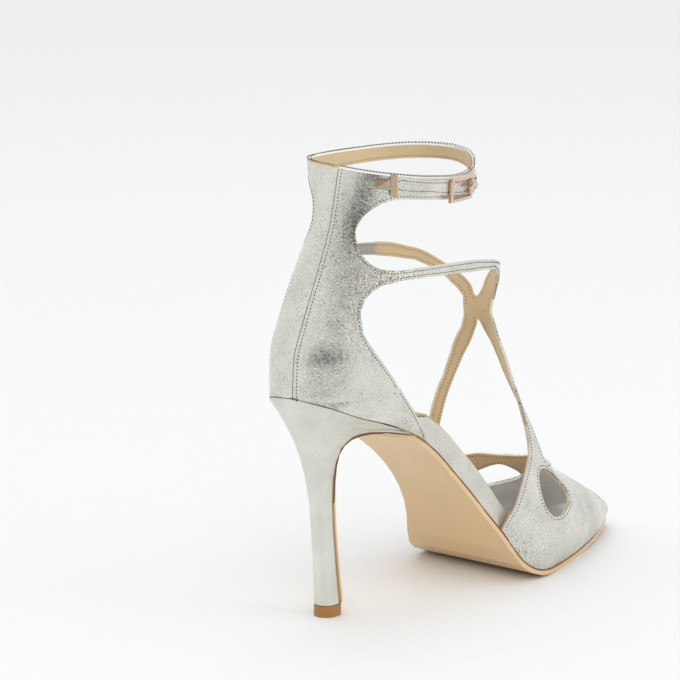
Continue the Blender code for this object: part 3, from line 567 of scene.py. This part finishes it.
def silver_leather(name, light, dark, speck, metallic, rough, places=(), crinkle=1.0):
    """Foil leather: crinkled foil over a fine dark crackle that is stronger in patches.

    speck is the share of the dark in a patch, and places adds patches, each (centre, radius), whose
    dark marks are partly painted shade.
    """
    m = Nodes(name)
    patches = m.ramp(m.noise(34.0, 3.0, 0.6), (0.46, 0.0), (0.74, 0.55))
    # Each place adds a patch of strong dark marks: painted shade over the real crackle.
    for centre, radius in places:
        patches = m.mix(1.0, patches, m.near(centre, radius), "ADD")
    cells = m.cells(900.0)
    crackle = m.ramp(cells, (0.0, 1.0), (0.14, 0.0))
    fine = m.ramp(m.noise(1500.0, 2.0, 0.6, stretch=(1.0, 1.0, 2.2)), (0.50, 0.0), (0.62, 1.0))
    amount = m.mix(patches, (speck * .20,) * 3, (speck,) * 3)
    marks = m.mix(1.0, m.mix(0.6, crackle, fine, "ADD"), amount, "MULTIPLY")
    shaded = tuple(0.84 * c for c in light)
    soft = m.mix(m.ramp(m.noise(55.0, 2.0), (0.3, 0.0), (0.7, 1.0)), light, shaded)
    color = m.mix(marks, soft, dark)
    m.set(Base_Color=color, Metallic=metallic)
    m.set(Roughness=m.ramp(m.noise(700.0, 3.0), (0.3, rough - .10), (0.7, rough + .10)))
    m.bump((m.noise(95.0, 2.0, 0.5, stretch=(1.0, 1.0, 0.4)), 0.32 * crinkle, 0.0022),
           (m.noise(480.0, 3.0, 0.65, stretch=(1.0, 1.0, 0.7)), 0.34 * crinkle, 0.0006),
           (m.noise(1100.0, 3.0, 0.65), 0.42 * crinkle, 0.0003),
           (cells, 0.25 * crinkle, 0.0003))
    return m.material


def tan_leather(name, color, rough=0.5, coat=0.0):
    m = Nodes(name)
    darker = tuple(0.86 * c for c in color)
    cloud = m.mix(m.noise(45.0, 3.0), color, darker)
    grain = m.ramp(m.noise(1800.0, 3.0, 0.6), (0.45, 0.0), (0.75, 1.0))
    m.set(Base_Color=m.mix(m.mix(1.0, grain, (.25, .25, .25), "MULTIPLY"), cloud, darker))
    m.set(Roughness=m.ramp(m.noise(400.0, 3.0), (0.3, rough - .06), (0.7, rough + .08)))
    m.set(Coat_Weight=coat)
    m.bump((m.noise(1400.0, 4.0, 0.6), 0.18, 0.0002))
    return m.material


def metal(name, color, rough=0.22):
    m = Nodes(name)
    m.set(Base_Color=color, Metallic=1.0)
    m.set(Roughness=m.ramp(m.noise(700.0, 3.0), (0.3, rough - .05), (0.7, rough + .08)))
    m.bump((m.noise(900.0, 2.0), 0.06, 0.0001))
    return m.material


# Places of strong crackle, in m: two on the outer side of the counter and one on the vamp. The
# crackle is real, but here it is made stronger to darken the counter's core and the vamp's far
# side: partly painted shade.
CRACKLE_AND_PAINTED_SHADE = ((.024, -.002, .168), .034), ((.030, .004, .135), .026), ((-.012, .172, .030), .034)
SILVER = silver_leather(
    "silver_foil", (.83, .825, .755), (.12, .10, .07), 0.95, 0.94, 0.27, CRACKLE_AND_PAINTED_SHADE)
SILVER_HEEL = silver_leather(
    "silver_heel_cover", (.79, .79, .72), (.40, .38, .32), 0.40, 0.85, 0.38, crinkle=0.40)
SILVER_BOARD = silver_leather(
    "silver_board_wrap", (.76, .755, .69), (.30, .28, .23), 0.80, 0.75, 0.40, crinkle=0.8)
# A paler copy of the foil, with no metal, for the footbed front and the lining under the toes. The
# silver is real, but its near-white colour is painted light for the inside of the shoe, which gets
# little light.
SILVER_BED_PAINTED_LIGHT = silver_leather(
    "silver_bed_painted_light", (.96, .955, .93), (.66, .64, .59), 0.30, 0.0, 0.45, crinkle=0.5)
LINING = tan_leather("tan_lining", (.71, .54, .325), 0.5)
FOOTBED = tan_leather("tan_bed", (.62, .46, .27), 0.5)
OUTSOLE = tan_leather("tan_sole", (.81, .58, .325), 0.42, coat=0.15)
WELT = tan_leather("brown_edge", (.23, .10, .04), 0.45)
TIP = tan_leather("brown_tip", (.41, .19, .05), 0.45)
ROSE = metal("rose_metal", (.74, .52, .40))
GOLD = metal("gold_metal", (.50, .37, .25), 0.3)
THREAD = tan_leather("dark_thread", (.055, .045, .032), 0.7)
LINING_THREAD = tan_leather("tan_thread", (.26, .175, .09), 0.7)
SEAM_THREAD = tan_leather("seam_thread", (.24, .21, .165), 0.7)


def elastic():
    m = Nodes("ribbed_elastic")
    ribs = m.ribs(420.0)
    # The colour follows the ribs: the grooves between them are darker as painted shade, the crests
    # lighter.
    m.set(Base_Color=m.mix(ribs, (.30, .295, .27), (.62, .61, .57)), Roughness=0.75)
    m.bump((ribs, 0.6, 0.0004))
    return m.material


def upper():
    """The leather wall, cut flat and laid on the last."""
    blank = [(BLANK_TOP, -1.0), (TOE, -1.0), (TOE, 1.0), (BLANK_TOP, 1.0)]
    obj = link("upper_leather", flat_slab("upper_leather", blank, WALL_LOW, WALL_HIGH))
    above = [(0.0, -1.2), (.94, -1.2)] + TOP_EDGE + [(.94, 1.2), (0.0, 1.2)]
    loops = [above, *HOLES, PEEP_TOE, ELASTIC_CUT]
    cut(obj, loops, WALL_LOW - CUT_OVER, WALL_HIGH + CUT_OVER)
    lay_on_last(obj)
    obj.data.materials.append(SILVER)
    obj.data.materials.append(LINING)
    obj.data.materials.append(SILVER_BED_PAINTED_LIGHT)
    piece(obj, None, "silver_leather", "upper")


def resample(points, pitch):
    """Places along these points, as fractional numbers of points, spaced by the pitch."""
    run = np.concatenate([[0.0], np.cumsum(np.linalg.norm(np.diff(points, axis=0), axis=1))])
    count = max(int(run[-1] / pitch), 2)
    return np.interp(np.linspace(0, run[-1], count + 1), run, np.arange(len(points)))


def stitch_row(bm, loop, side, closed, inset=STITCH_IN, height=WALL_HIGH, face=1):
    """Stitches at this inset, on the side of the edge that leather_side gives."""
    flat = np.array(loop, float)
    if closed:
        flat = np.vstack([flat, flat[:1]])
    fine = []
    for a, b in zip(flat[:-1], flat[1:]):
        fine += [a + (b - a) * t for t in np.linspace(0, 1, 6, endpoint=False)]
    fine = np.array(fine + [flat[-1]])
    keep = (np.abs(fine[:, 1]) <= 0.995) & (fine[:, 0] < STITCH_U)
    solid = np.array([lasted(min(u, 21.9), np.clip(w, -1, 1), height) for u, w in fine])
    places = resample(solid, STITCH_PITCH)
    rows = []
    for t in places:
        k = min(int(t), len(fine) - 2)
        if not (keep[k] and keep[k + 1]):
            continue
        uv = fine[k] + (fine[k + 1] - fine[k]) * (t - k)
        lo, hi = max(k - 2, 0), min(k + 3, len(fine) - 1)
        way = solid[hi] - solid[lo]
        way /= np.linalg.norm(way)
        out = NORMAL_SIGN * last_normal(*uv)
        into = np.cross(out, way) * side
        rows.append((uv, way, out, into))
    for uv, way, out, into in rows:
        du, dw = to_flat(uv[0], uv[1], into * inset)
        u, w = uv[0] + du, uv[1] + dw
        at_seat = 5.9 < u < 6.2 and abs(w) < .8
        in_tip = height == STRAP_TOP and w > TIP_FROM
        if abs(w) > STITCH_W or at_seat or in_tip:
            continue
        centre = lasted(u, w, height)
        add_stitch(bm, centre, way, np.cross(out, way), out * face)


def add_stitch(bm, centre, way, across, out):
    """One stitch: a low, round-ended thread lying in its dent."""
    rings = []
    for s, k in ((-1.0, 0.35), (-0.5, 1.0), (0.5, 1.0), (1.0, 0.35)):
        ring = []
        for c, h in ((-1.0, -0.2), (-0.5, 0.14), (0.5, 0.14), (1.0, -0.2)):
            p = centre + way * s * STITCH_LONG / 2 + across * c * k * STITCH_WIDE / 2 + out * h * k
            ring.append(bm.verts.new(Vector(p * MM)))
        rings.append(ring)
    for a, b in zip(rings[:-1], rings[1:]):
        for i in range(3):
            bm.faces.new((a[i], a[i + 1], b[i + 1], b[i]))
        bm.faces.new((a[3], a[0], b[0], b[3]))
    bm.faces.new(rings[0])
    bm.faces.new(rings[-1][::-1])


def write(bm, name, material, slot, angle=40):
    bmesh.ops.recalc_face_normals(bm, faces=bm.faces)
    mesh = bpy.data.meshes.new(name)
    bm.to_mesh(mesh)
    bm.free()
    return piece(link(name, mesh), material, slot, angle=angle)


def edge_rows(bm, height, face):
    """The rows along the edges of the upper, on its outer face (1) or in the lining (-1)."""
    stitch_row(bm, TOP_EDGE, -1, False, height=height, face=face)
    for hole in HOLES:
        stitch_row(bm, hole, leather_side(hole), True, height=height, face=face)
    stitch_row(bm, PEEP_TOE[2:-2], leather_side(PEEP_TOE), False, height=height, face=face)


def seam_lines():
    outer = bmesh.new()
    edge_rows(outer, WALL_HIGH, 1)
    stitch_row(outer, BILLET, -leather_side(BILLET), True, STRAP_STITCH_IN, STRAP_TOP)
    back_stitches(outer)
    write(outer, "stitches", THREAD, "silver_leather")
    inner = bmesh.new()
    edge_rows(inner, WALL_LOW, -1)
    write(inner, "lining_stitches", LINING_THREAD, "silver_leather")


def back_line(offset, height):
    """Points down the back seam, this far in mm round to the lateral side."""
    points = []
    for u in np.linspace(SEAM_TOP, SEAM_LOW, 120):
        per_mm = 0.02 / np.linalg.norm(last_point(u, .98) - last_point(u, 1.0))
        points.append(lasted(u, 1.0 - offset * per_mm, height))
    return np.array(points)


def back_stitches(bm):
    line = back_line(BACK_STITCH_OUT, WALL_HIGH)
    for t in resample(line, STITCH_PITCH):
        k = min(max(int(t), 1), len(line) - 2)
        centre = line[k] + (line[k + 1] - line[k]) * (t - k)
        way = line[k + 1] - line[k - 1]
        way /= np.linalg.norm(way)
        u = SEAM_TOP + (SEAM_LOW - SEAM_TOP) * t / (len(line) - 1)
        out = NORMAL_SIGN * last_normal(u, .97)
        add_stitch(bm, centre, way, np.cross(out, way), out)


def cord(name, points, radius, material, slot):
    """A round cord through these points in mm."""
    bm = bmesh.new()
    rings = []
    turns = np.linspace(0, 2 * np.pi, CORD_SIDES, endpoint=False)
    for k, point in enumerate(points):
        way = points[min(k + 1, len(points) - 1)] - points[max(k - 1, 0)]
        way /= np.linalg.norm(way)
        a = np.cross(way, OFF_CORDS)
        a /= np.linalg.norm(a)
        b = np.cross(way, a)
        ring = [point + radius * (np.cos(t) * a + np.sin(t) * b) for t in turns]
        rings.append([bm.verts.new(Vector(p * MM)) for p in ring])
    for a, b in zip(rings[:-1], rings[1:]):
        for i in range(CORD_SIDES):
            j = (i + 1) % CORD_SIDES
            bm.faces.new((a[i], a[j], b[j], b[i]))
    bm.faces.new(rings[0])
    bm.faces.new(rings[-1][::-1])
    write(bm, name, material, slot, angle=80)


def breast_edge(rows, sign, out, up):
    """The edge of the outsole up the breast on this side, moved out and up in mm."""
    return [
        np.array([sign * ((left if sign > 0 else right) + out), y, z + up])
        for y, z, left, right, _ in rows
    ]


def sole_edges():
    """The dark line in the joint over the outsole, on both sides and round the toe."""
    for name, sign in (("lateral", 1), ("medial", -1)):
        points = breast_edge(BREAST[4:], sign, .02, .12)
        for u in np.arange(9.0, TOE + .01, .125):
            row = last_row(u)
            covered = np.interp(u, [12.4, 13.6], [0.0, 1.0])
            wide = (row[5] if sign > 0 else row[6]) + 1.82 * covered
            points.append(np.array([sign * wide, *(row[0:2] - seat_up(u) * .12)]))
        cord(f"sole_line_{name}", smooth_path(points), SOLE_CORD, WELT, "tan_outsole")


def heel_joint():
    """The silver cover that closes the joint between the heel and the outsole."""
    for name, sign in (("lateral", 1), ("medial", -1)):
        points = breast_edge(BREAST[9:], sign, -.9, 1.0)
        for u in (9.0, 9.25, 9.5):
            row = last_row(u)
            wide = row[5] if sign > 0 else row[6]
            points.append(np.array([sign * (wide - .9), *(row[0:2] + seat_up(u) * .7)]))
        path = smooth_path(points, 1)
        cord(f"heel_joint_{name}", path, JOINT_CORD, SILVER_HEEL, "silver_heel")


def smooth_path(points, times=2):
    pts = np.array(points)
    for _ in range(times):
        pts[1:-1] = .25 * pts[:-2] + .5 * pts[1:-1] + .25 * pts[2:]
    return pts


def strap_tip():
    """The gold tip of the strap end."""
    slab = flat_slab("strap_tip", TIP_LOOP, STRAP_TOP - TIP_UNDER, STRAP_TOP + TIP_OVER)
    obj = link("strap_tip", slab)
    bm = bmesh.new()
    bm.from_mesh(obj.data)
    for v in bm.verts:
        v.co = Vector(lasted(v.co.x, v.co.y / PATTERN_Y, v.co.z) * MM)
    bmesh.ops.recalc_face_normals(bm, faces=bm.faces)
    bm.to_mesh(obj.data)
    bm.free()
    piece(obj, GOLD, "keeper_metal")


def strap_hole_painted_shade():
    """A dark disc in the free hole of the strap end by the buckle: painted shade for the hole."""
    bm = bmesh.new()
    place, out = lasted(*HOLE, STRAP_TOP), NORMAL_SIGN * last_normal(*HOLE)
    a = np.cross(out, (0.0, 0.0, 1.0))
    a /= np.linalg.norm(a)
    b = np.cross(out, a)
    turns = np.linspace(0, 2 * np.pi, HOLE_SIDES, endpoint=False)
    disc = [np.cos(t) * a + np.sin(t) * b for t in turns]
    low = [bm.verts.new(Vector((place + HOLE_R * way - out * .1) * MM)) for way in disc]
    top = [bm.verts.new(Vector((place + HOLE_RIM * way + out * .05) * MM)) for way in disc]
    bm.faces.new(low)
    bm.faces.new(top[::-1])
    for i in range(HOLE_SIDES):
        j = (i + 1) % HOLE_SIDES
        bm.faces.new((low[i], low[j], top[j], top[i]))
    # The dark thread colour paints the shade in the hole.
    write(bm, "strap_hole_painted_shade", THREAD, "silver_strap_end")


upper()
seam_lines()
cord("back_seam", back_line(0.0, WALL_HIGH + .02), SEAM_CORD, SEAM_THREAD, "silver_leather")
sole_edges()
heel_joint()
strap_tip()
strap_hole_painted_shade()

for node, material in (
    ("heel", SILVER_HEEL), ("insole_board", SILVER_BOARD), ("footbed_rear", FOOTBED),
    ("footbed_front", SILVER_BED_PAINTED_LIGHT), ("outsole", OUTSOLE), ("toplift", TIP), ("strap_end", SILVER),
    ("elastic_gusset", elastic()), ("buckle_frame", ROSE), ("buckle_prong", ROSE), ("keeper", GOLD),
):
    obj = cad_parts[node]
    obj.data.materials.clear()
    obj.data.materials.append(material)

# Floor and light: a white sweep under large soft lights.
floor_mesh = bpy.data.meshes.new("floor")
floor_mesh.from_pydata([(-4, -4, 0), (4, -4, 0), (4, 6, 0), (-4, 6, 0)], [], [(0, 1, 2, 3)])
floor = link("floor", floor_mesh)
paper = Nodes("paper")
paper.set(Base_Color=(PAPER, PAPER, PAPER), Roughness=0.9)
floor.data.materials.append(paper.material)

world = bpy.data.worlds.new("studio")
world.use_nodes = True
tree = world.node_tree
direction = tree.nodes.new("ShaderNodeTexCoord")
facing = tree.nodes.new("ShaderNodeVectorMath")
facing.operation = "DOT_PRODUCT"
tree.links.new(direction.outputs["Generated"], facing.inputs[0])
facing.inputs[1].default_value = DARK_WAY
fall = tree.nodes.new("ShaderNodeValToRGB")
fall.color_ramp.elements[0].position = DARK_FROM
fall.color_ramp.elements[0].color = (1, 1, 1, 1)
fall.color_ramp.elements[1].position = DARK_TO
fall.color_ramp.elements[1].color = (DARK, DARK, DARK, 1)
tree.links.new(facing.outputs["Value"], fall.inputs["Fac"])
tree.links.new(fall.outputs["Color"], tree.nodes["Background"].inputs["Color"])
tree.nodes["Background"].inputs["Strength"].default_value = ROOM
bpy.context.scene.world = world
bpy.context.scene.view_settings.view_transform = "Standard"


def softbox(name, place, target, size, power):
    data = bpy.data.lights.new(name, "AREA")
    data.shape = "RECTANGLE"
    data.size, data.size_y = size
    data.energy = power
    obj = link(name, data)
    obj.location = place
    obj.rotation_euler = (Vector(target) - Vector(place)).to_track_quat("-Z", "Y").to_euler()
    return obj


softbox("key", *KEY)
softbox("right", *SIDE)
fill = softbox("fill", *FILL)
fill.visible_glossy = False
fill.data.color = FILL_COLOR

azimuth, elevation = np.radians(CAM_AZ), np.radians(CAM_EL)
flat_back = np.array([np.sin(azimuth), -np.cos(azimuth), 0.0])
back = flat_back * np.cos(elevation) + np.array([0.0, 0.0, np.sin(elevation)])
right = np.array([np.cos(azimuth), np.sin(azimuth), 0.0])
over = np.cross(back, right)
focal_px = PX_PER_MM * CAM_DIST
shift_right = (HEEL_PX[0] - IMAGE_PX / 2) / focal_px
shift_up = -(HEEL_PX[1] - IMAGE_PX / 2) / focal_px
eye = CAM_DIST * (back - shift_right * right - shift_up * over) * MM
camera_data = bpy.data.cameras.new("camera")
camera_data.sensor_width = SENSOR
camera_data.lens = SENSOR * focal_px / IMAGE_PX
camera_data.clip_end = CLIP_END
camera = link("camera", camera_data)
camera.matrix_world = Matrix([
    (right[0], over[0], back[0], eye[0]),
    (right[1], over[1], back[1], eye[1]),
    (right[2], over[2], back[2], eye[2]),
    (0, 0, 0, 1),
])
bpy.context.scene.camera = camera
